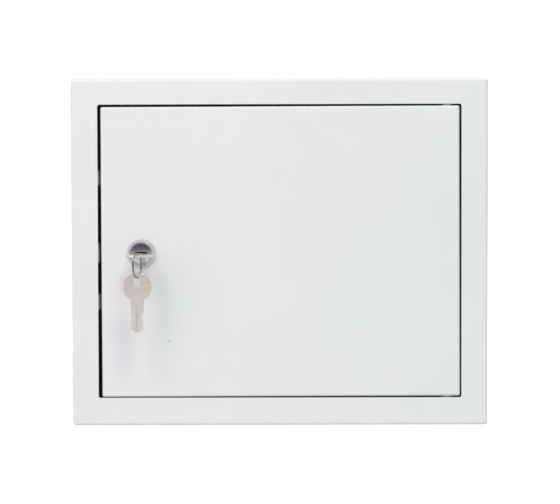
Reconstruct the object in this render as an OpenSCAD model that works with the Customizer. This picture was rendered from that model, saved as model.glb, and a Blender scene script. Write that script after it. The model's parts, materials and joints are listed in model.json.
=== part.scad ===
// Steel wall enclosure: a folded case with a welded back, a flush door on hidden pin hinges,
// a cam lock with two keys on a ring, and a mounting plate with a DIN rail and an earth bar.
// Millimetres. X runs right as seen from the front, Y runs into the wall and Z is up.
// The origin is the centre of the back face, where the case meets the wall.

/* [Case] */
// Outside width of the case
case_w = 300; // [280:5:400]
// Outside height of the case
case_h = 250; // [220:5:350]
// Depth from the wall to the face of the front frame
case_d = 125; // [90:5:200]
// Thickness of the steel sheet that the case and the door are folded from
sheet = 1.2; // [0.8:0.1:1.6]
// Outside radius of the folds of the case
case_bend_r = 2.2; // [1.8:0.1:4]
// Outside radius of the four welded and ground corners of the case
case_corner_r = 3; // [2:0.5:6]
// Width of the front frame beside the door
frame_side = 19; // [17:0.5:30]
// Height of the front frame above the door
frame_top = 18.5; // [17:0.5:30]
// Height of the front frame below the door
frame_bottom = 20; // [17:0.5:30]
// Radius in the corners of the door opening
opening_corner_r = 1.5; // [0.5:0.25:3]
// Width of the flanges that the back panel is welded to
rear_flange = 12; // [8:1:18]

/* [Wall fixing] */
// Distance of the wall holes from the sides of the case
wall_hole_inset_x = 25; // [20:1:32]
// Distance of the wall holes from the top and the bottom of the case
wall_hole_inset_z = 25; // [20:1:32]
// Diameter of the wall holes
wall_hole_d = 7; // [5:0.5:9]
// Margin left between the back panel and the sides of the case
back_margin = 1.5; // [0.5:0.25:3]

/* [Cable knockouts] */
// Knockouts in the top wall and in the bottom wall
knockout_count = 3; // [1:1:4]
// Diameter of a knockout
knockout_d = 22.5; // [16:0.5:25]
// Distance between knockout centres
knockout_pitch = 55; // [36:1:60]
// Width of the slit punched round a knockout
knockout_slit = 0.6; // [0.4:0.1:1]
// Width of the two webs that hold a knockout
knockout_web = 3; // [2:0.5:5]
// Distance of the knockouts from the wall
knockout_back = 58; // [40:1:60]

/* [Door] */
// Gap beside the door on the lock side
gap_lock = 2.4; // [1.5:0.1:3.5]
// Gap beside the door on the hinge side
gap_hinge = 1.2; // [1.1:0.1:2]
// Gap above the door, at the hinges
gap_top = 1.15; // [0.9:0.05:2.5]
// Gap below the door, at the hinges
gap_bottom = 1.15; // [0.9:0.05:2]
// How far the free end of the door hangs low
door_drop = 0.55; // [0:0.05:0.6]
// Depth of the folded edge of the door
door_flange = 14; // [12:0.5:16]
// Outside radius of the folds of the door
door_bend_r = 1.8; // [1.7:0.1:3]
// Outside radius of the corners of the door
door_corner_r = 1.8; // [1.7:0.1:3]

/* [Hinges] */
// Distance of the hinge axis from the hinge side of the door
hinge_inset = 8.5; // [8:0.5:12]
// Distance of the hinge axis behind the front of the door
hinge_setback = 6.5; // [6.2:0.1:7]
// Diameter of the hinge pins
hinge_pin_d = 4; // [3:0.5:4.5]
// Thickness of the hinge brackets
hinge_plate = 2; // [1.5:0.1:2.2]
// Width of the hinge brackets
hinge_bracket_w = 16; // [12:1:22]

/* [Keeper and stops] */
// Height of the keeper that the cam locks behind
keeper_h = 14; // [10:1:24]
// Thickness of the keeper and the door stops
tab_sheet = 1.5; // [1:0.1:2]
// Height of each door stop
stop_h = 11; // [8:1:16]
// Height of the upper door stop above the middle of the case
stop_upper_z = 54; // [30:1:70]
// Depth of the lower door stop below the middle of the case
stop_lower_z = 36; // [26:1:70]

/* [Lock] */
// Distance of the lock axis from the lock side of the door
lock_inset = 29; // [24:0.5:32]
// Drop of the lock axis below the middle of the door
lock_drop = 1; // [0:0.5:10]
// Diameter of the lock head
lock_head_d = 20.5; // [19.5:0.5:24]
// Projection of the lock head from the door
lock_head_h = 3.6; // [3:0.1:5]
// Diameter of the threaded barrel of the lock
lock_barrel_d = 18; // [16.5:0.5:19]
// Distance across the two flats of the barrel
lock_flats = 16; // [15:0.5:16.5]
// Length of the barrel behind the front of the door
lock_barrel_l = 19; // [18:0.5:24]
// Diameter of the turning plug
plug_d = 13; // [12:0.5:13.5]
// Distance across the flats of the nut that holds the lock
lock_nut_af = 22; // [21:0.5:27]
// Reach of the cam from the lock axis
cam_reach = 39; // [37:0.5:44]
// Width of the cam
cam_w = 13; // [10:0.5:16]
// Thickness of the cam
cam_t = 2.5; // [1.5:0.25:3]

/* [Keys] */
// Diameter of the key bow
key_bow_d = 20; // [18:0.5:26]
// Thickness of a key
key_t = 1.8; // [1.6:0.1:2.2]
// Width of a key blade
key_blade_w = 8.6; // [7:0.2:9]
// Length of a key blade
key_blade_l = 19; // [17:0.5:20]
// Droop of the key in its keyway, in degrees
key_droop = 2.5; // [0:0.5:3]
// Diameter of the key ring, at the middle of its wire
ring_d = 17; // [16.5:0.5:20]
// Diameter of the wire of the key ring
ring_wire_d = 1.4; // [1:0.1:1.5]
// Turn of the key ring out of the plane square to the door, in degrees
ring_yaw = 14; // [0:1:15]

/* [Mounting plate] */
// Margin between the mounting plate and the outside of the case
plate_margin = 34; // [33:1:50]
// Thickness of the mounting plate
plate_t = 2; // [1.5:0.25:3]
// Distance of the plate studs from the edges of the plate
stud_inset = 11; // [9:1:16]
// Length of the sleeves that stand the plate off the back
standoff = 12; // [8:1:20]
// Free length of the studs in front of the plate nuts
stud_tail = 3; // [1:0.5:6]

/* [DIN rail and earth bar] */
// Length of the DIN rail
rail_l = 200; // [150:25:225]
// Height of the rail above the middle of the case
rail_z = 22; // [10:1:28]
// Terminals in the earth bar
bar_ways = 8; // [4:1:12]
// Distance between the terminals
bar_pitch = 9; // [8:0.5:12]
// Depth of the earth bar below the middle of the case
bar_drop = 52; // [35:1:60]
// Length of the posts under the earth bar
bar_post_l = 12; // [8:1:20]

/* [Earth studs] */
// Length of the welded earth studs
earth_stud_l = 16; // [13:1:22]
// Distance of the case earth stud from the side of the case
earth_stud_x = 34; // [25:1:45]
// Distance of the door earth stud from the hinge side and the bottom of the door
door_stud_inset = 32; // [28:1:45]

/* [Hidden] */
$fn = 64;

// Colours
powder_coat = [0.91, 0.92, 0.93];
zinc = [0.74, 0.75, 0.76];
galvanised = [0.66, 0.68, 0.70];
chrome = [0.55, 0.56, 0.58];
nickel = [0.80, 0.77, 0.73];
brass = [0.80, 0.66, 0.36];
nylon = [0.88, 0.88, 0.84];

// A cut runs this far past a face, so that it goes right through
past = 1;

// Planes of the case, from the wall forward
back_front_y = -sheet;
flange_front_y = back_front_y - sheet;
front_y = -case_d;
skin_y = front_y + sheet;

// Door opening, and the door in it
open_left = -case_w / 2 + frame_side;
open_right = case_w / 2 - frame_side;
open_top = case_h / 2 - frame_top;
open_bottom = -case_h / 2 + frame_bottom;
door_left = open_left + gap_lock;
door_right = open_right - gap_hinge;
door_top = open_top - gap_top;
door_bottom = open_bottom + gap_bottom;
door_back_y = front_y + door_flange;
door_tilt = asin(door_drop / (door_right - door_left));

// Hinges
hinge_x = door_right - hinge_inset;
hinge_y = front_y + hinge_setback;
hinge_pin_r = hinge_pin_d / 2;
hinge_pin_head_r = hinge_pin_r + 1;
hinge_pin_head_h = 1.5;
hinge_leg = 14;
running_fit = 0.05;
bush_wall = 1;
bush_r = hinge_pin_r + running_fit + bush_wall;
bush_lip_r = bush_r + 1;
bush_play = 0.1;
bush_tilt_lift = 0.012;
bush_tail = 2;
pin_tail = 1.5;

// Lock, from its head to the cam
lock_x = door_left + lock_inset;
lock_z = (door_top + door_bottom) / 2 - lock_drop;
lock_head_rim = 1.2;
lock_face_y = front_y - lock_head_h;
lock_rear_y = front_y + lock_barrel_l;
lock_hole_play = 0.1;
lock_nut_t = 3;
plug_r = plug_d / 2;
plug_lip_r = plug_r + 1;
plug_lip_t = 1;
plug_dome = 0.45;
plug_dome_r = (plug_lip_r * plug_lip_r + plug_dome * plug_dome) / (2 * plug_dome);
plug_dome_steps = 8;
plug_recess = 0.3;
plug_face_y = lock_face_y + plug_recess;
plug_seat_y = plug_face_y + plug_lip_t + 0.1;
tail_w = 7;
cam_play = 0.2;
cam_front_y = lock_rear_y + cam_play;
cam_back_y = cam_front_y + cam_t;
cam_hub_r = 8;
cam_washer_r = 6;
cam_washer_t = 1;
cam_screw_r = 2;
cam_screw_head_r = 3.6;
cam_screw_head_h = 2.6;
cam_screw_bite = 2.2;

// Keeper and door stops, folded from strip and welded behind the frame
keeper_play = 1;
keeper_back_y = cam_front_y - keeper_play;
tab_w = 15;
tab_bend_r = tab_sheet + 0.5;
stop_play = 0.3;
stop_face_y = door_back_y + stop_play;
stop_tongue = 8;

// Keys and ring
key_neck_w = key_blade_w + 0.6;
key_neck_l = 2.5;
key_bow_r = key_bow_d / 2;
key_web = 2.6;
key_hole_r = 2.8;
key_hole_spread = 0.5;
key_cut_pitch = 2.3;
key_cut_start = key_blade_l - 12.4;
key_cuts = [1.1, 2.0, 0.8, 1.7, 1.2];
key_groove_w = 1.4;
key_groove_t = 0.4;
key_fit = 0.15;
key_seat = 0.05;
key_tip_w = 2.4;
key_play = 0.1;
keyway_h = key_t + key_blade_l * sin(key_droop) + 2 * key_play;
key_shoulder_y = plug_face_y - key_seat;
key_pivot_y = key_shoulder_y + key_blade_l / 2;
key_web_arm = key_blade_l / 2 + key_neck_l + key_bow_d - key_web / 2;
key_web_y = key_pivot_y - key_web_arm * cos(key_droop);
key_web_z = lock_z - key_web_arm * sin(key_droop);
ring_r = ring_d / 2;
ring_wire_r = ring_wire_d / 2;
ring_touch = 0.45;
ring_forward = 0.8;
ring_aside = 0.4;
ring_x = lock_x - ring_aside;
ring_y = key_web_y - ring_forward;
ring_z = key_web_z + key_t / 2 + ring_touch + ring_wire_r - ring_r;
spare_touch = 0.14;
spare_hole_top = ring_z - ring_r + ring_wire_r + spare_touch;
spare_z = spare_hole_top + key_web - key_bow_d - key_neck_l;

// Mounting plate and the stack on its studs, from the back panel forward
plate_w = case_w - 2 * plate_margin;
plate_h = case_h - 2 * plate_margin;
plate_back_y = back_front_y - standoff;
plate_front_y = plate_back_y - plate_t;
plate_corner_r = 4;
stud_x = plate_w / 2 - stud_inset;
stud_z = plate_h / 2 - stud_inset;
m6_r = 3;
m6_hole_r = 3.3;
m6_washer_r = 6;
m6_washer_t = 1.2;
m6_nut_af = 10;
m6_nut_t = 5;
sleeve_r = 5;
sleeve_fit = 0.1;
stud_l = standoff + plate_t + m6_washer_t + m6_nut_t + stud_tail;

// DIN rail, 35 mm top hat
rail_w = 35;
rail_base = 27;
rail_depth = 7.5;
rail_t = 1;
rail_slot_pitch = 25;
rail_slot_l = 15;
rail_slot_w = 6.2;
rail_slots = floor(rail_l / rail_slot_pitch);
rail_screw_x = (rail_slots - 1) / 2 * rail_slot_pitch;
rail_screw_r = 2.5;
rail_screw_head_r = 4.6;
rail_screw_head_h = 3;

// Earth bar
bar_h = 8;
bar_t = 9;
bar_end = 4.5;
bar_l = (bar_ways + 1) * bar_pitch + 2 * bar_end;
bar_back_y = plate_front_y - bar_post_l;
bar_front_y = bar_back_y - bar_t;
bar_post_r = 4;
bar_bolt_r = 2;
bar_bolt_head_r = 3.6;
bar_bolt_head_h = 2.4;
wire_hole_r = 2.6;
terminal_r = 2;
terminal_head_r = 2.9;
terminal_head_h = 2.2;
screw_slot_w = 0.9;
screw_slot_t = 0.9;

// Earth studs
case_stud_x = -case_w / 2 + earth_stud_x;
case_stud_y = -knockout_back;
floor_z = -case_h / 2 + sheet;
door_stud_x = door_right - door_stud_inset;
door_stud_z = door_bottom + door_stud_inset;

// ---------- Shared shapes ----------

// A rectangle about its centre with round corners
module round_rect(w, h, r) {
    square([w - 2 * r, h], center = true);
    square([w, h - 2 * r], center = true);
    for (x = [-1, 1], y = [-1, 1])
        translate([x * (w / 2 - r), y * (h / 2 - r)]) circle(r);
}

// A rectangle from the origin with only the corner at the origin round
module one_round(w, h, r) {
    translate([r, 0]) square([w - r, h]);
    translate([0, r]) square([w, h - r]);
    translate([r, r]) circle(r);
}

// A slot with round ends, centred, long way along X
module slot(l, w) {
    square([l - w, w], center = true);
    for (x = [-1, 1])
        translate([x * (l - w) / 2, 0]) circle(w / 2);
}

// A strip of sheet folded once: its outside corner is at the origin, its legs run along X and Y
module folded_angle(leg_x, leg_y, t, r) {
    difference() {
        one_round(leg_x, leg_y, r);
        translate([t, t]) one_round(leg_x, leg_y, r - t);
    }
}

// Stands a 2D outline drawn in X and Z up, so that it is extruded along Y from y0 to y1
module along_y(y0, y1) {
    translate([0, y1, 0]) rotate([90, 0, 0]) linear_extrude(y1 - y0) children();
}

// A cylinder along Y
module rod_y(y0, y1, r) {
    translate([0, y1, 0]) rotate([90, 0, 0]) cylinder(h = y1 - y0, r = r);
}

// A block with folded edges: fold_r along X and Z, corner_r along Y, from the plane y0 to y1
module folded_block(w, h, y0, y1, fold_r, corner_r) {
    d = y1 - y0;
    translate([0, (y0 + y1) / 2, 0])
        intersection() {
            along_y(-d / 2, d / 2) round_rect(w, h, corner_r);
            linear_extrude(h, center = true) round_rect(w, d, fold_r);
            rotate([90, 0, 90]) linear_extrude(w, center = true) round_rect(d, h, fold_r);
        }
}

// A hexagon nut along Y with its bore
module hex_nut_y(y0, y1, af, bore_r) {
    difference() {
        along_y(y0, y1) circle(r = af / sqrt(3), $fn = 6);
        rod_y(y0 - past, y1 + past, bore_r);
    }
}

// A round washer or sleeve along Y
module ring_y_axis(y0, y1, r, bore_r) {
    difference() {
        rod_y(y0, y1, r);
        rod_y(y0 - past, y1 + past, bore_r);
    }
}

// A slotted screw along Y: its head faces front from seat_y, and its shank runs back to end_y
module slotted_screw(seat_y, end_y, shank_r, head_r, head_h) {
    difference() {
        union() {
            rod_y(seat_y - head_h, seat_y, head_r);
            rod_y(seat_y, end_y, shank_r);
        }
        translate([0, seat_y - head_h, 0])
            cube([2 * head_r + past, 2 * screw_slot_t, screw_slot_w], center = true);
    }
}

module at_plate_studs() {
    for (x = [-1, 1], z = [-1, 1])
        translate([x * stud_x, 0, z * stud_z]) children();
}

module at_terminals() {
    for (i = [0 : bar_ways - 1])
        translate([(i - (bar_ways - 1) / 2) * bar_pitch, 0, -bar_drop]) children();
}

module at_bar_ends() {
    for (x = [-1, 1])
        translate([x * (bar_l / 2 - bar_end), 0, -bar_drop]) children();
}

// Everything on the door turns a little about the hinges, because the door hangs low
module hung() {
    pivot_z = (open_top + open_bottom) / 2;
    translate([hinge_x, 0, pivot_z])
        rotate([0, -door_tilt, 0])
            translate([-hinge_x, 0, -pivot_z]) children();
}

module at_lock() {
    hung() translate([lock_x, 0, lock_z]) children();
}

// ---------- Case ----------

// The slit round one knockout, cut along Z, with its two webs left standing
module knockout_slit_cut() {
    difference() {
        cylinder(h = 2 * sheet + 2 * past, r = knockout_d / 2 + knockout_slit, center = true);
        cylinder(h = 2 * sheet + 4 * past, r = knockout_d / 2, center = true);
        cube([knockout_web, 2 * knockout_d, 2 * sheet + 4 * past], center = true);
    }
}

module case_wrap() {
    inner_fold = case_bend_r - sheet;
    inner_corner = case_corner_r - sheet;
    color(powder_coat)
        difference() {
            folded_block(case_w, case_h, front_y, back_front_y, case_bend_r, case_corner_r);
            folded_block(case_w - 2 * sheet, case_h - 2 * sheet, skin_y, flange_front_y,
                inner_fold, inner_corner);
            translate([(open_left + open_right) / 2, 0, (open_top + open_bottom) / 2])
                along_y(front_y - past, skin_y + past)
                    round_rect(open_right - open_left, open_top - open_bottom, opening_corner_r);
            along_y(flange_front_y - past, back_front_y + past)
                square([case_w - 2 * rear_flange, case_h - 2 * rear_flange], center = true);
            for (i = [0 : knockout_count - 1], side = [-1, 1])
                translate([(i - (knockout_count - 1) / 2) * knockout_pitch, -knockout_back,
                    side * (case_h / 2 - sheet / 2)])
                    knockout_slit_cut();
        }
}

module back_panel() {
    color(powder_coat)
        difference() {
            along_y(back_front_y, 0)
                round_rect(case_w - 2 * back_margin, case_h - 2 * back_margin, case_corner_r);
            for (x = [-1, 1], z = [-1, 1])
                translate([x * (case_w / 2 - wall_hole_inset_x), 0,
                    z * (case_h / 2 - wall_hole_inset_z)])
                    rod_y(back_front_y - past, past, wall_hole_d / 2);
        }
}

// A channel with its web beside the opening: one leg on the frame, one for the cam to bear on
module keeper() {
    color(powder_coat)
        translate([open_left, skin_y, lock_z - keeper_h / 2])
            linear_extrude(keeper_h) {
                mirror([1, 0]) folded_angle(tab_w, tab_w, tab_sheet, tab_bend_r);
                translate([0, keeper_back_y - skin_y])
                    mirror([1, 0]) mirror([0, 1])
                        folded_angle(tab_w, (keeper_back_y - skin_y) / 2, tab_sheet, tab_bend_r);
            }
}

// A strip folded like a Z: a foot on the frame, a web beside the gap, a tongue behind the door
module door_stops() {
    web_l = stop_face_y + tab_sheet - skin_y;
    color(powder_coat)
        for (z = [stop_upper_z, -stop_lower_z])
            translate([open_left, skin_y, z - stop_h / 2])
                linear_extrude(stop_h) {
                    mirror([1, 0]) folded_angle(tab_w, web_l - tab_bend_r, tab_sheet, tab_bend_r);
                    translate([-tab_sheet, web_l])
                        mirror([0, 1])
                            folded_angle(stop_tongue + tab_sheet, web_l / 2, tab_sheet, tab_bend_r);
                }
}

// ---------- Hinges ----------

// side is 1 for the hinge above the door and -1 for the one below it
function hinge_edge_z(side) = side > 0 ? open_top : open_bottom;
function door_edge_z(side) = side > 0 ? door_top : door_bottom;

// An angle welded behind the frame; its flat leg carries the pin over the edge of the door
module hinge_bracket(side) {
    color(zinc)
        difference() {
            translate([hinge_x - hinge_bracket_w / 2, skin_y, hinge_edge_z(side)])
                mirror([0, 0, side > 0 ? 0 : 1])
                    rotate([90, 0, 90])
                        linear_extrude(hinge_bracket_w)
                            folded_angle(hinge_leg, hinge_leg, hinge_plate, hinge_plate + 0.5);
            translate([hinge_x, hinge_y, hinge_edge_z(side)])
                cylinder(h = 4 * hinge_plate, r = hinge_pin_r, center = true);
        }
}

module hinge_pin(side) {
    gap = abs(hinge_edge_z(side) - door_edge_z(side));
    reach = gap + sheet + bush_tail + pin_tail;
    color(zinc)
        translate([hinge_x, hinge_y, hinge_edge_z(side)])
            mirror([0, 0, side > 0 ? 0 : 1]) {
                translate([0, 0, -reach]) cylinder(h = reach + hinge_plate, r = hinge_pin_r);
                translate([0, 0, hinge_plate]) cylinder(h = hinge_pin_head_h, r = hinge_pin_head_r);
            }
}

// A flanged bush in the folded edge of the door, upright on the pin
module hinge_bush(side) {
    lip = (side > 0 ? gap_top : gap_bottom) - bush_play;
    color(nylon)
        translate([hinge_x, hinge_y, door_edge_z(side)])
            mirror([0, 0, side > 0 ? 0 : 1])
                difference() {
                    union() {
                        translate([0, 0, bush_tilt_lift])
                            cylinder(h = lip - bush_tilt_lift, r = bush_lip_r);
                        translate([0, 0, -sheet - bush_tail])
                            cylinder(h = lip + sheet + bush_tail, r = bush_r);
                    }
                    cylinder(h = 6 * (sheet + bush_tail), r = hinge_pin_r + running_fit, center = true);
                }
}

// ---------- Door ----------

// The double-D hole outline of the lock, in X and Z
module lock_outline(play) {
    intersection() {
        circle(lock_barrel_d / 2 + play);
        square([lock_barrel_d + 2 * past, lock_flats + 2 * play], center = true);
    }
}

// A tray with folded edges: a block with round edges, hollowed from behind and cut off flat
module door_tray() {
    door_w = door_right - door_left;
    door_h = door_top - door_bottom;
    translate([(door_left + door_right) / 2, 0, (door_top + door_bottom) / 2])
        difference() {
            folded_block(door_w, door_h, front_y, door_back_y + door_flange, door_bend_r,
                door_corner_r);
            folded_block(door_w - 2 * sheet, door_h - 2 * sheet, skin_y,
                door_back_y + 2 * door_flange, door_bend_r - sheet, door_corner_r - sheet);
            translate([0, door_back_y + case_d / 2, 0])
                cube([case_w, case_d, case_h], center = true);
        }
}

module door_panel() {
    color(powder_coat)
        difference() {
            hung() door_tray();
            at_lock() along_y(front_y - past, skin_y + past) lock_outline(lock_hole_play);
            for (side = [-1, 1])
                translate([hinge_x, hinge_y, door_edge_z(side)])
                    cylinder(h = 4 * sheet, r = bush_r, center = true);
        }
}

// ---------- Lock ----------

module lock_housing() {
    bore_r = plug_r + running_fit;
    lip_r = plug_lip_r + 0.1;
    face_r = plug_lip_r + 1.1;
    color(chrome)
        at_lock() {
            translate([0, front_y, 0])
                rotate([90, 0, 0])
                    rotate_extrude()
                        polygon([[bore_r, 0], [lock_head_d / 2, 0], [lock_head_d / 2, lock_head_rim],
                            [face_r, lock_head_h], [lip_r, lock_head_h],
                            [lip_r, front_y - plug_seat_y], [bore_r, front_y - plug_seat_y]]);
            difference() {
                along_y(front_y, lock_rear_y) lock_outline(0);
                rod_y(front_y - past, lock_rear_y + past, bore_r);
            }
        }
}

module lock_nut() {
    color(zinc)
        at_lock() hex_nut_y(skin_y, skin_y + lock_nut_t, lock_nut_af, lock_barrel_d / 2);
}

// The lip of the turning core: its front is a shallow dome, drawn as an arc and turned round
module plug_lip() {
    edge = asin(plug_lip_r / plug_dome_r);
    arc = [for (i = [0 : plug_dome_steps])
        [plug_dome_r * sin(edge * (1 - i / plug_dome_steps)),
            plug_lip_t - plug_dome_r * (1 - cos(edge * (1 - i / plug_dome_steps)))]];
    translate([0, plug_face_y + plug_lip_t, 0])
        rotate([90, 0, 0])
            rotate_extrude()
                polygon(concat([[0, 0], [plug_lip_r, 0]], arc));
}

// The turning core, with its keyway and the square tail that carries the cam
module lock_plug() {
    color(chrome)
        at_lock()
            difference() {
                union() {
                    plug_lip();
                    rod_y(plug_face_y + plug_lip_t, lock_rear_y, plug_r);
                    along_y(lock_rear_y, cam_back_y) square(tail_w, center = true);
                }
                translate([0, plug_face_y + key_blade_l / 2, 0])
                    cube([key_blade_w + 2 * key_fit, key_blade_l + 2 * key_fit + key_seat,
                        keyway_h], center = true);
                rod_y(cam_back_y - cam_screw_bite, cam_back_y + past, cam_screw_r);
            }
}

// A flat bar on the square tail. It hangs down, clear of the keeper, while the door is unlocked
module lock_cam() {
    color(zinc)
        at_lock()
            along_y(cam_front_y, cam_back_y)
                difference() {
                    union() {
                        circle(cam_hub_r);
                        translate([-cam_w / 2, -cam_reach + cam_w / 2])
                            square([cam_w, cam_reach - cam_w / 2]);
                        translate([0, -cam_reach + cam_w / 2]) circle(cam_w / 2);
                    }
                    square(tail_w + 0.1, center = true);
                }
}

module cam_washer() {
    color(zinc)
        at_lock() ring_y_axis(cam_back_y, cam_back_y + cam_washer_t, cam_washer_r, cam_screw_r);
}

module cam_screw() {
    seat = cam_back_y + cam_washer_t;
    color(zinc)
        at_lock()
            mirror([0, 1, 0])
                slotted_screw(-seat, -(cam_back_y - cam_screw_bite), cam_screw_r,
                    cam_screw_head_r, cam_screw_head_h);
}

// ---------- Keys ----------

// The outline of a key: its shoulder is on the X axis, its blade runs along +Y
module key_outline() {
    half = key_blade_w / 2;
    cut_half = key_cut_pitch / 4;
    bitting = [for (i = [0 : len(key_cuts) - 1], p = [[-1, 0], [-0.3, 1], [0.3, 1], [1, 0]])
        [half - p[1] * key_cuts[i], key_cut_start + i * key_cut_pitch + p[0] * 2 * cut_half]];
    tip = [[half, key_blade_l - 2], [key_tip_w / 2, key_blade_l],
        [-key_tip_w / 2, key_blade_l], [-half, key_blade_l - 2], [-half, 0]];
    difference() {
        union() {
            translate([0, -key_neck_l - key_bow_r]) circle(key_bow_r);
            translate([-key_neck_w / 2, -key_neck_l - key_bow_r / 2])
                square([key_neck_w, key_neck_l + key_bow_r / 2]);
            polygon(concat([[half, 0]], bitting, tip));
        }
        translate([0, -key_neck_l - key_bow_d + key_web + key_hole_r + key_hole_spread])
            rotate([0, 0, 90]) slot(2 * (key_hole_r + key_hole_spread), 2 * key_hole_r);
    }
}

// A key lying in X and Y, with a milled groove along each face of its blade
module key() {
    color(nickel)
        difference() {
            linear_extrude(key_t, center = true) key_outline();
            for (side = [-1, 1])
                translate([-key_blade_w / 8 * (1 + side), key_blade_l / 2, side * key_t / 2])
                    cube([key_groove_w, key_blade_l + past, 2 * key_groove_t], center = true);
        }
}

// The key in the lock hangs down a little: it turns about the middle of its blade
module lock_key() {
    at_lock()
        translate([0, key_pivot_y, 0])
            rotate([key_droop, 0, 0])
                translate([0, key_shoulder_y - key_pivot_y, 0]) key();
}

module spare_key() {
    hung() translate([ring_x, ring_y, spare_z]) rotate([-90, 0, 0]) key();
}

// The ring stands square to the door, over the front edge of the bow, and turned a little
module key_ring() {
    color(zinc)
        hung()
            translate([ring_x, ring_y, ring_z])
                rotate([0, 0, -ring_yaw])
                    rotate([0, 90, 0])
                        rotate_extrude()
                            translate([ring_r, 0]) circle(ring_wire_r);
}

// ---------- Mounting plate ----------

module plate_studs() {
    color(zinc) at_plate_studs() rod_y(back_front_y - stud_l, back_front_y, m6_r);
}

module plate_sleeves() {
    color(zinc)
        at_plate_studs() ring_y_axis(plate_back_y, back_front_y, sleeve_r, m6_r + sleeve_fit);
}

module mounting_plate() {
    color(galvanised)
        difference() {
            along_y(plate_front_y, plate_back_y) round_rect(plate_w, plate_h, plate_corner_r);
            at_plate_studs() rod_y(plate_front_y - past, plate_back_y + past, m6_hole_r);
            for (x = [-1, 1])
                translate([x * rail_screw_x, 0, rail_z])
                    rod_y(plate_front_y - past, plate_back_y + past, rail_screw_r);
            at_bar_ends() rod_y(plate_front_y - past, plate_back_y + past, bar_bolt_r);
        }
}

module plate_washers() {
    color(zinc)
        at_plate_studs()
            ring_y_axis(plate_front_y - m6_washer_t, plate_front_y, m6_washer_r, m6_hole_r);
}

module plate_nuts() {
    seat = plate_front_y - m6_washer_t;
    color(zinc) at_plate_studs() hex_nut_y(seat - m6_nut_t, seat, m6_nut_af, m6_r);
}

// ---------- DIN rail ----------

// The top-hat section: its base lies on the plate, its flanges stand off to the front
module rail_section() {
    difference() {
        translate([-rail_base / 2, 0]) square([rail_base, rail_depth]);
        translate([-rail_base / 2 + rail_t, rail_t]) square([rail_base - 2 * rail_t, rail_depth]);
    }
    for (x = [-rail_w / 2, rail_base / 2 - rail_t])
        translate([x, rail_depth - rail_t]) square([(rail_w - rail_base) / 2 + rail_t, rail_t]);
}

module din_rail() {
    color(zinc)
        difference() {
            translate([0, plate_front_y, rail_z])
                rotate([0, -90, 0])
                    linear_extrude(rail_l, center = true) mirror([0, 1]) rail_section();
            for (i = [0 : rail_slots - 1])
                translate([(i - (rail_slots - 1) / 2) * rail_slot_pitch, 0, rail_z])
                    along_y(plate_front_y - rail_t - past, plate_front_y + past)
                        slot(rail_slot_l, rail_slot_w);
        }
}

module din_rail_screws() {
    color(zinc)
        for (x = [-1, 1])
            translate([x * rail_screw_x, 0, rail_z])
                slotted_screw(plate_front_y - rail_t, plate_back_y, rail_screw_r,
                    rail_screw_head_r, rail_screw_head_h);
}

// ---------- Earth bar ----------

module earth_bar() {
    color(brass)
        difference() {
            translate([-bar_l / 2, bar_front_y, -bar_drop - bar_h / 2]) cube([bar_l, bar_t, bar_h]);
            at_terminals() {
                translate([0, (bar_front_y + bar_back_y) / 2, 0])
                    cylinder(h = bar_h + 2 * past, r = wire_hole_r, center = true);
                rod_y(bar_front_y - past, (bar_front_y + bar_back_y) / 2, terminal_r);
            }
            at_bar_ends() rod_y(bar_front_y - past, bar_back_y + past, bar_bolt_r);
        }
}

module earth_bar_posts() {
    color(brass)
        at_bar_ends() ring_y_axis(bar_back_y, plate_front_y, bar_post_r, bar_bolt_r);
}

module earth_bar_bolts() {
    color(zinc)
        at_bar_ends()
            slotted_screw(bar_front_y, plate_back_y, bar_bolt_r, bar_bolt_head_r, bar_bolt_head_h);
}

module terminal_screws() {
    color(zinc)
        at_terminals()
            slotted_screw(bar_front_y, (bar_front_y + bar_back_y) / 2 - wire_hole_r, terminal_r,
                terminal_head_r, terminal_head_h);
}

// ---------- Earth studs ----------

// An earth stack is drawn along Y from the plane y = 0 forward, then placed by its own module
module place_case_stud() {
    translate([case_stud_x, case_stud_y, floor_z]) rotate([-90, 0, 0]) children();
}

module place_door_stud() {
    hung() translate([door_stud_x, skin_y, door_stud_z]) rotate([0, 0, 180]) children();
}

module case_earth_stud() {
    color(zinc) place_case_stud() rod_y(-earth_stud_l, 0, m6_r);
}

module case_earth_washer() {
    color(zinc) place_case_stud() ring_y_axis(-m6_washer_t, 0, m6_washer_r, m6_hole_r);
}

module case_earth_nut() {
    seat = -m6_washer_t;
    color(zinc) place_case_stud() hex_nut_y(seat - m6_nut_t, seat, m6_nut_af, m6_r);
}

module door_earth_stud() {
    color(zinc) place_door_stud() rod_y(-earth_stud_l, 0, m6_r);
}

module door_earth_washer() {
    color(zinc) place_door_stud() ring_y_axis(-m6_washer_t, 0, m6_washer_r, m6_hole_r);
}

module door_earth_nut() {
    seat = -m6_washer_t;
    color(zinc) place_door_stud() hex_nut_y(seat - m6_nut_t, seat, m6_nut_af, m6_r);
}

// ---------- Nodes ----------

case_wrap();
back_panel();
keeper();
door_stops();
hinge_bracket(1);  // upper_hinge_bracket
hinge_bracket(-1);  // lower_hinge_bracket
hinge_pin(1);  // upper_hinge_pin
hinge_pin(-1);  // lower_hinge_pin
plate_studs();
plate_sleeves();
mounting_plate();
plate_washers();
plate_nuts();
din_rail();
din_rail_screws();
earth_bar();
earth_bar_posts();
earth_bar_bolts();
terminal_screws();
case_earth_stud();
case_earth_washer();
case_earth_nut();
door_panel();
hinge_bush(1);  // upper_hinge_bush
hinge_bush(-1);  // lower_hinge_bush
door_earth_stud();
door_earth_washer();
door_earth_nut();
lock_housing();
lock_nut();
lock_plug();
lock_cam();
cam_washer();
cam_screw();
lock_key();
key_ring();
spare_key();
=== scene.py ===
"""Steel wall enclosure: materials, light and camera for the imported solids, and the pieces they leave plain.

Everything is in metres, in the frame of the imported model: X right, Y into the wall, Z up.
"""
import json
import math

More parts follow.
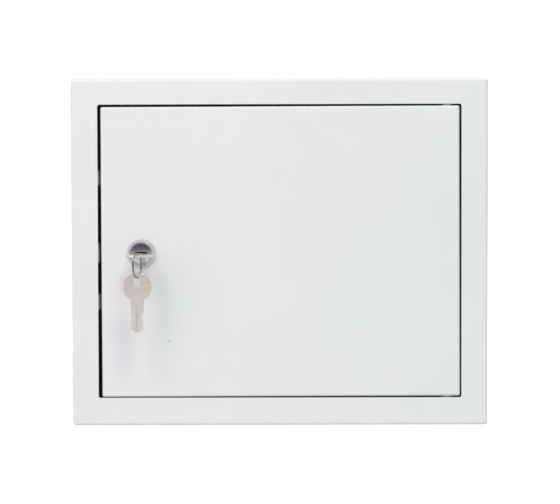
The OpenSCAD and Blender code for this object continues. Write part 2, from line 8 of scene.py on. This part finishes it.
import bmesh
import bpy
from mathutils import Euler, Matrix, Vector


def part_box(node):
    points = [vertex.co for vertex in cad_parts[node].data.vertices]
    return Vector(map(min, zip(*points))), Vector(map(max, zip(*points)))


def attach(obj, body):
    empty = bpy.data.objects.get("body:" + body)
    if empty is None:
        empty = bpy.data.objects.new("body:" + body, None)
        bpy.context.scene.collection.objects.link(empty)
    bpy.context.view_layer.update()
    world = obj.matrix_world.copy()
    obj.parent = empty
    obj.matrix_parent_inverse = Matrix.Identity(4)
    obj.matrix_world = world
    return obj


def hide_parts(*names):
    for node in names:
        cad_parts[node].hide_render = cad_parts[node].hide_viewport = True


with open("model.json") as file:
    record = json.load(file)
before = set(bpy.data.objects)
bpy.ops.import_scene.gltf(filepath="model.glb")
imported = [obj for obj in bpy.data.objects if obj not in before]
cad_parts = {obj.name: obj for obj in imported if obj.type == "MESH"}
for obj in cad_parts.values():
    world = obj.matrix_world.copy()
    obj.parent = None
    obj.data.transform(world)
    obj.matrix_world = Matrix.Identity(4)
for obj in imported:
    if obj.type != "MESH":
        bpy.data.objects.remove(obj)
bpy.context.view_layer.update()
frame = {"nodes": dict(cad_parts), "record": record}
MM = 0.001
RING_WIRE = 1.4 * MM
M6_RADIUS, M6_PITCH = 3 * MM, 1 * MM

# ---------- Camera ----------

FRONT_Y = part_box("case_wrap")[0].y
CAMERA_DISTANCE = 1.0
CAMERA_LENS = 89.25
AIM = Vector((0.0003, FRONT_Y, 0.0002))
PITCH, YAW, ROLL = 1.393, 0.297, 0.145


def make_camera():
    """A long lens, almost square to the front and a little above it."""
    cam = bpy.data.objects.new("camera", bpy.data.cameras.new("camera"))
    bpy.context.scene.collection.objects.link(cam)
    cam.data.lens = CAMERA_LENS
    cam.data.sensor_width = 36
    cam.data.clip_start, cam.data.clip_end = 0.05, 50
    turn = (
        Euler((0, 0, math.radians(YAW))).to_matrix()
        @ Euler((math.radians(-PITCH), 0, 0)).to_matrix()
        @ Euler((0, math.radians(ROLL), 0)).to_matrix()
        @ Euler((math.radians(90), 0, 0)).to_matrix()
    )
    cam.matrix_world = turn.to_4x4()
    cam.location = AIM + turn @ Vector((0, 0, CAMERA_DISTANCE))
    bpy.context.scene.camera = cam


# ---------- Node helpers ----------


class Nodes:
    """A short way to write a node tree."""

    def __init__(self, tree):
        self.tree = tree
        self.tree.nodes.clear()

    def add(self, kind, settings=None, **inputs):
        node = self.tree.nodes.new(kind)
        for key, value in (settings or {}).items():
            setattr(node, key, value)
        for key, value in inputs.items():
            self.put(node, key.replace("_", " "), value)
        return node

    def put(self, node, name, value):
        socket = node.inputs[int(name)] if name.isdigit() else node.inputs[name]
        if isinstance(value, bpy.types.NodeSocket):
            self.tree.links.new(value, socket)
        else:
            socket.default_value = value


def rgb(r, g, b):
    """sRGB from 0 to 255, as linear RGBA."""
    lin = [c / 255 / 12.92 if c <= 10 else ((c / 255 + 0.055) / 1.055) ** 2.4 for c in (r, g, b)]
    return (*lin, 1.0)


def start_material(name):
    mat = bpy.data.materials.new(name)
    mat.use_nodes = True
    n = Nodes(mat.node_tree)
    out = n.add("ShaderNodeOutputMaterial")
    shader = n.add("ShaderNodeBsdfPrincipled")
    n.put(out, "Surface", shader.outputs[0])
    where = n.add("ShaderNodeTexCoord").outputs["Object"]
    return mat, n, shader, where


def noise(n, where, scale, detail=2.0, rough=0.5, stretch=None):
    if stretch:
        where = n.add("ShaderNodeMapping", Vector=where, Scale=stretch).outputs[0]
    return n.add(
        "ShaderNodeTexNoise", Vector=where, Scale=scale, Detail=detail, Roughness=rough
    ).outputs[0]


def ramp(n, factor, low, high, a, b):
    """Maps factor from low..high to a..b."""
    return n.add(
        "ShaderNodeMapRange",
        Value=factor,
        From_Min=low,
        From_Max=high,
        To_Min=a,
        To_Max=b,
    ).outputs[0]


def mix_colour(n, factor, a, b):
    node = n.add("ShaderNodeMix", {"data_type": "RGBA"})
    n.put(node, "0", factor)
    n.put(node, "6", a)
    n.put(node, "7", b)
    return node.outputs[2]


def soft_corners(n, radius):
    return n.add("ShaderNodeBevel", {"samples": 6}, Radius=radius).outputs[0]


def bump(n, shader, height, distance, strength, under=None):
    node = n.add("ShaderNodeBump", Height=height, Distance=distance, Strength=strength)
    if under:
        n.put(node, "Normal", under)
    n.put(shader, "Normal", node.outputs[0])


# ---------- Materials ----------

COAT = rgb(236, 237, 240)
COAT_SHADE = rgb(233, 234, 237)
SPECK_AT = Vector((-0.0798, FRONT_Y, -0.0641))
SPECK_CORE, SPECK_EDGE = 0.5 * MM, 0.75 * MM


def powder_coat():
    """White polyester powder: fine orange peel, a faint unevenness of tone, a dark speck on the door."""
    mat, n, shader, where = start_material("powder_coat")
    clouds = noise(n, where, 9, 3, 0.55)
    tone = mix_colour(n, ramp(n, clouds, 0.35, 0.65, 0, 1), COAT, COAT_SHADE)
    away = n.add("ShaderNodeVectorMath", {"operation": "DISTANCE"})
    n.put(away, "0", where)
    n.put(away, "1", SPECK_AT)
    ragged = n.add("ShaderNodeMath", {"operation": "MULTIPLY"})
    n.put(ragged, "0", away.outputs["Value"])
    n.put(ragged, "1", ramp(n, noise(n, where, 1500, 2), 0.3, 0.7, 0.7, 1.4))
    speck = ramp(n, ragged.outputs[0], SPECK_CORE, SPECK_EDGE, 1, 0)
    n.put(shader, "Base Color", mix_colour(n, speck, tone, rgb(132, 132, 134)))
    n.put(shader, "Roughness", ramp(n, noise(n, where, 260, 2), 0.3, 0.7, 0.40, 0.52))
    shader.inputs["IOR"].default_value = 1.5
    peel = noise(n, where, 520, 2.5, 0.5)
    bump(n, shader, peel, 0.035 * MM, 0.6, soft_corners(n, 0.35 * MM))
    return mat


def plated(name, colour, tint, rough, grain_scale=300, grain=0.02, edge=0.15, painted_edge_shade=None):
    """Plated metal: a cloudy tone, a fine uneven grain, soft corners, and, if a colour is given, a darker
    colour on the edges that is painted shade for the dark surroundings those edges reflect.
    """
    mat, n, shader, where = start_material(name)
    clouds = noise(n, where, 60, 3, 0.6)
    tone = mix_colour(n, ramp(n, clouds, 0.3, 0.7, 0, 1), colour, tint)
    shader.inputs["Metallic"].default_value = 1.0
    fine = noise(n, where, grain_scale, 4, 0.6)
    n.put(shader, "Roughness", ramp(n, fine, 0.3, 0.7, rough * 0.8, rough * 1.25))
    soft = soft_corners(n, edge * MM)
    # Painted shade: near the edges, where the rounded normal turns away from the face normal, the tone goes
    # to the given darker colour in place of a dark reflection.
    if painted_edge_shade:
        facing = n.add("ShaderNodeVectorMath", {"operation": "DOT_PRODUCT"})
        n.put(facing, "0", soft)
        n.put(facing, "1", n.add("ShaderNodeNewGeometry").outputs["Normal"])
        tone = mix_colour(n, ramp(n, facing.outputs["Value"], 0.75, 0.98, 1, 0), tone, painted_edge_shade)
    n.put(shader, "Base Color", tone)
    bump(n, shader, fine, grain * MM, 0.5, soft)
    return mat


def galvanised():
    """Hot-dip galvanised sheet: crystals a few millimetres across, each with its own tone."""
    mat, n, shader, where = start_material("galvanised")
    warp = n.add("ShaderNodeVectorMath", {"operation": "SCALE"})
    n.put(warp, "0", n.add("ShaderNodeTexNoise", Vector=where, Scale=90, Detail=3).outputs[1])
    n.put(warp, "Scale", 0.006)
    moved = n.add("ShaderNodeVectorMath", {"operation": "ADD"})
    n.put(moved, "0", where)
    n.put(moved, "1", warp.outputs[0])
    cells = n.add("ShaderNodeTexVoronoi", {"feature": "F1"}, Vector=moved.outputs[0], Scale=110)
    tone = n.add("ShaderNodeSeparateColor", Color=cells.outputs["Color"]).outputs[0]
    n.put(shader, "Base Color", mix_colour(n, tone, rgb(168, 173, 178), rgb(200, 204, 207)))
    shader.inputs["Metallic"].default_value = 1.0
    n.put(shader, "Roughness", ramp(n, tone, 0, 1, 0.30, 0.48))
    feather = noise(n, where, 700, 3, 0.6, (1, 1, 0.25))
    bump(n, shader, feather, 0.02 * MM, 0.4)
    return mat


def nylon():
    mat, n, shader, where = start_material("nylon")
    clouds = noise(n, where, 300, 2)
    n.put(shader, "Base Color", mix_colour(n, clouds, rgb(232, 231, 222), rgb(222, 221, 210)))
    n.put(shader, "Roughness", ramp(n, clouds, 0.3, 0.7, 0.42, 0.55))
    shader.inputs["IOR"].default_value = 1.53
    bump(n, shader, noise(n, where, 1500, 2), 0.01 * MM, 0.5)
    return mat


def dress(material, *names):
    for name in names:
        node = frame["nodes"][name]
        node.data.materials.clear()
        node.data.materials.append(material)


# ---------- Stage ----------


def make_stage():
    """A pale floor that fades to white, and a world that is white to look at and cooler as light."""
    floor_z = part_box("case_wrap")[0].z
    mesh = bpy.data.meshes.new("floor")
    mesh.from_pydata(
        [(x, y, floor_z) for x, y in ((-20, -20), (20, -20), (20, 20), (-20, 20))], [], [(0, 1, 2, 3)]
    )
    floor = bpy.data.objects.new("floor", mesh)
    bpy.context.scene.collection.objects.link(floor)
    mat = bpy.data.materials.new("floor")
    mat.use_nodes = True
    n = Nodes(mat.node_tree)
    out = n.add("ShaderNodeOutputMaterial")
    matt = n.add("ShaderNodeBsdfDiffuse", Color=rgb(236, 236, 236))
    glow = n.add("ShaderNodeEmission", Color=(1, 1, 1, 1))
    path = n.add("ShaderNodeLightPath")
    n.put(glow, "Strength", ramp(n, path.outputs["Is Camera Ray"], 0, 1, 0, 0.78))
    both = n.add("ShaderNodeAddShader")
    n.put(both, "0", matt.outputs[0])
    n.put(both, "1", glow.outputs[0])
    n.put(out, "Surface", both.outputs[0])
    mesh.materials.append(mat)

    world = bpy.data.worlds.new("world")
    bpy.context.scene.world = world
    world.use_nodes = True
    n = Nodes(world.node_tree)
    path = n.add("ShaderNodeLightPath")
    direct = n.add("ShaderNodeMath", {"operation": "MAXIMUM"})
    n.put(direct, "0", path.outputs["Is Camera Ray"])
    n.put(direct, "1", path.outputs["Is Transmission Ray"])
    seen = n.add("ShaderNodeMath", {"operation": "MAXIMUM"})
    n.put(seen, "0", direct.outputs[0])
    n.put(seen, "1", path.outputs["Is Glossy Ray"])
    back = n.add("ShaderNodeBackground")
    n.put(back, "Color", mix_colour(n, seen.outputs[0], (0.43, 0.475, 0.506, 1), (1, 1, 1, 1)))
    n.put(n.add("ShaderNodeOutputWorld"), "Surface", back.outputs[0])


def make_dark_card():
    """A dark screen behind the camera that only gloss sees. It gives the bright metal its dark side."""
    y, bottom, top, half = -1.6, 0.03, 2.2, 1.8
    mesh = bpy.data.meshes.new("dark_card")
    mesh.from_pydata(
        [(-half, y, bottom), (half, y, bottom), (half, y, top), (-half, y, top)], [], [(0, 1, 2, 3)]
    )
    card = bpy.data.objects.new("dark_card", mesh)
    bpy.context.scene.collection.objects.link(card)
    mat = bpy.data.materials.new("dark_card")
    mat.use_nodes = True
    n = Nodes(mat.node_tree)
    matt = n.add("ShaderNodeBsdfDiffuse", Color=rgb(96, 94, 104))
    n.put(n.add("ShaderNodeOutputMaterial"), "Surface", matt.outputs[0])
    mesh.materials.append(mat)
    card.visible_camera = card.visible_diffuse = card.visible_shadow = False
    card.visible_transmission = False


def lamp(name, place, size, power, colour):
    """A soft round lamp that looks at the middle of the box."""
    data = bpy.data.lights.new(name, "AREA")
    data.shape = "DISK"
    data.size = size
    data.energy = power
    data.color = colour
    ob = bpy.data.objects.new(name, data)
    bpy.context.scene.collection.objects.link(ob)
    ob.location = place
    ob.rotation_euler = Vector(place).to_track_quat("Z", "Y").to_euler()


# ---------- Pieces that the solids leave plain ----------


def make_mesh(name, verts, faces, material, smooth_angle):
    mesh = bpy.data.meshes.new(name)
    mesh.from_pydata(verts, [], faces)
    bm = bmesh.new()
    bm.from_mesh(mesh)
    bmesh.ops.recalc_face_normals(bm, faces=bm.faces)
    for face in bm.faces:
        face.smooth = True
    for edge in bm.edges:
        edge.smooth = edge.calc_face_angle(0) < math.radians(smooth_angle)
    bm.to_mesh(mesh)
    bm.free()
    mesh.materials.append(material)
    ob = bpy.data.objects.new(name, mesh)
    bpy.context.scene.collection.objects.link(ob)
    return ob


def tube(rings):
    """Vertices and faces of a skin over equal rings of points, with capped ends."""
    size = len(rings[0])
    verts = [p for ring in rings for p in ring]
    faces = []
    for i in range(len(rings) - 1):
        a, b = i * size, (i + 1) * size
        for k in range(size):
            m = (k + 1) % size
            faces.append((a + k, a + m, b + m, b + k))
    faces.append(tuple(range(size)))
    faces.append(tuple(range(len(verts) - size, len(verts))))
    return verts, faces


def split_ring():
    """Two flat coils of spring wire on each other, which cross over on one side."""
    low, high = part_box("key_ring")
    centre = (low + high) / 2
    outer = (high.z - low.z) / 2
    mid = outer - RING_WIRE / 2
    yaw = math.atan2(high.x - low.x - RING_WIRE, 2 * mid)
    half_w, half_t, half_gap = RING_WIRE * 0.38, RING_WIRE * 0.20, RING_WIRE * 0.22
    profile = [
        (half_w * math.copysign(abs(math.cos(a)) ** 0.6, math.cos(a)),
         half_t * math.copysign(abs(math.sin(a)) ** 0.6, math.sin(a)))
        for a in (2 * math.pi * k / 16 for k in range(16))
    ]
    along = Vector((math.sin(yaw), math.cos(yaw), 0))
    across = Vector((math.cos(yaw), -math.sin(yaw), 0))
    rings = []
    steps = 150
    cross = 0.12
    for i in range(steps + 1):
        turn = 2 * i / steps
        step = min(max((turn - 1) / cross + 0.5, 0), 1)
        side = (2 * (3 * step**2 - 2 * step**3) - 1) * half_gap
        a = 2 * math.pi * turn + math.radians(200)
        out = along * math.sin(a) + Vector((0, 0, math.cos(a)))
        rings.append([tuple(centre + out * (mid + u) + across * (side + v)) for u, v in profile])
    verts, faces = tube(rings)
    ring = make_mesh("split_ring", verts, faces, bright_zinc, 60)
    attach(ring, "ring")
    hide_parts("key_ring")


def threaded(name, length, material):
    """An M6 rod along +Y from the origin with a thread that fades out at both ends."""
    around, per_turn = 32, 6
    depth = 0.6 * M6_PITCH
    steps = int(length / M6_PITCH * per_turn)
    rings = []
    for i in range(steps + 1):
        y = length * i / steps
        fade = min(1, min(y, length - y) / M6_PITCH)
        ring = []
        for k in range(around):
            a = 2 * math.pi * k / around
            crest = 1 - abs(2 * ((y / M6_PITCH - k / around) % 1) - 1)
            here = M6_RADIUS - depth * (1 - crest * fade)
            ring.append((here * math.cos(a), y, here * math.sin(a)))
        rings.append(ring)
    verts, faces = tube(rings)
    return make_mesh(name, verts, faces, material, 80)


def stud_threads(node, body, along_z=False):
    """M6 threads on the welded studs of a node: one stud, or one in each corner of the node's box."""
    low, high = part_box(node)
    r = M6_RADIUS
    one = high.x - low.x < 3 * r
    spots = sorted({(x, z) for x in (low.x + r, high.x - r) for z in (low.z + r, high.z - r)})
    length = high.z - low.z if along_z else high.y - low.y
    for i, (x, z) in enumerate(spots[:1] if one else spots):
        stud = threaded("%s_thread_%d" % (node, i + 1), length, zinc)
        stud.location = (x, (low.y + high.y) / 2, low.z) if along_z else (x, low.y, z)
        stud.rotation_euler.x = math.radians(90) if along_z else 0
        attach(stud, body)
        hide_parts(node)


# ---------- Scene ----------

bpy.context.scene.view_settings.view_transform = "Standard"
make_camera()
make_stage()
make_dark_card()
lamp("top_right", (0.45, -1.3, 1.5), 0.6, 11.2, (0.80, 1.0, 0.70))
lamp("top_left", (-0.7, -1.2, 1.5), 0.8, 10.2, (0.94, 0.77, 0.85))
lamp("left", (-1.4, -1.6, 0.4), 1.4, 8.7, (0.94, 0.62, 0.69))

white = powder_coat()
zinc = plated("zinc", rgb(196, 200, 206), rgb(208, 208, 204), 0.28)
chrome = plated("chrome", rgb(214, 214, 218), rgb(205, 206, 211), 0.17, 500, 0.006)
# The last colour is painted shade on the keys' edges, standing in for the dark surroundings that the edges
# reflect.
nickel = plated(
    "nickel", rgb(248, 237, 231), rgb(242, 232, 226), 0.30, 400, 0.01, 0.6, rgb(196, 192, 192)
)
bright_zinc = plated("bright_zinc", rgb(166, 164, 162), rgb(134, 132, 130), 0.14)
brass = plated("brass", rgb(206, 172, 104), rgb(190, 152, 86), 0.30)
dress(white, "case_wrap", "back_panel", "keeper", "door_stops", "door_panel")
dress(galvanised(), "mounting_plate")
dress(brass, "earth_bar", "earth_bar_posts")
dress(nylon(), "upper_hinge_bush", "lower_hinge_bush")
dress(chrome, "lock_housing", "lock_plug")
dress(nickel, "lock_key", "spare_key")
split_ring()
stud_threads("plate_studs", "cabinet")
stud_threads("case_earth_stud", "cabinet", along_z=True)
stud_threads("door_earth_stud", "door")
dress(zinc, *[s["node"] for s in frame["record"]["subparts"] if s["material_slot"] == "zinc"])
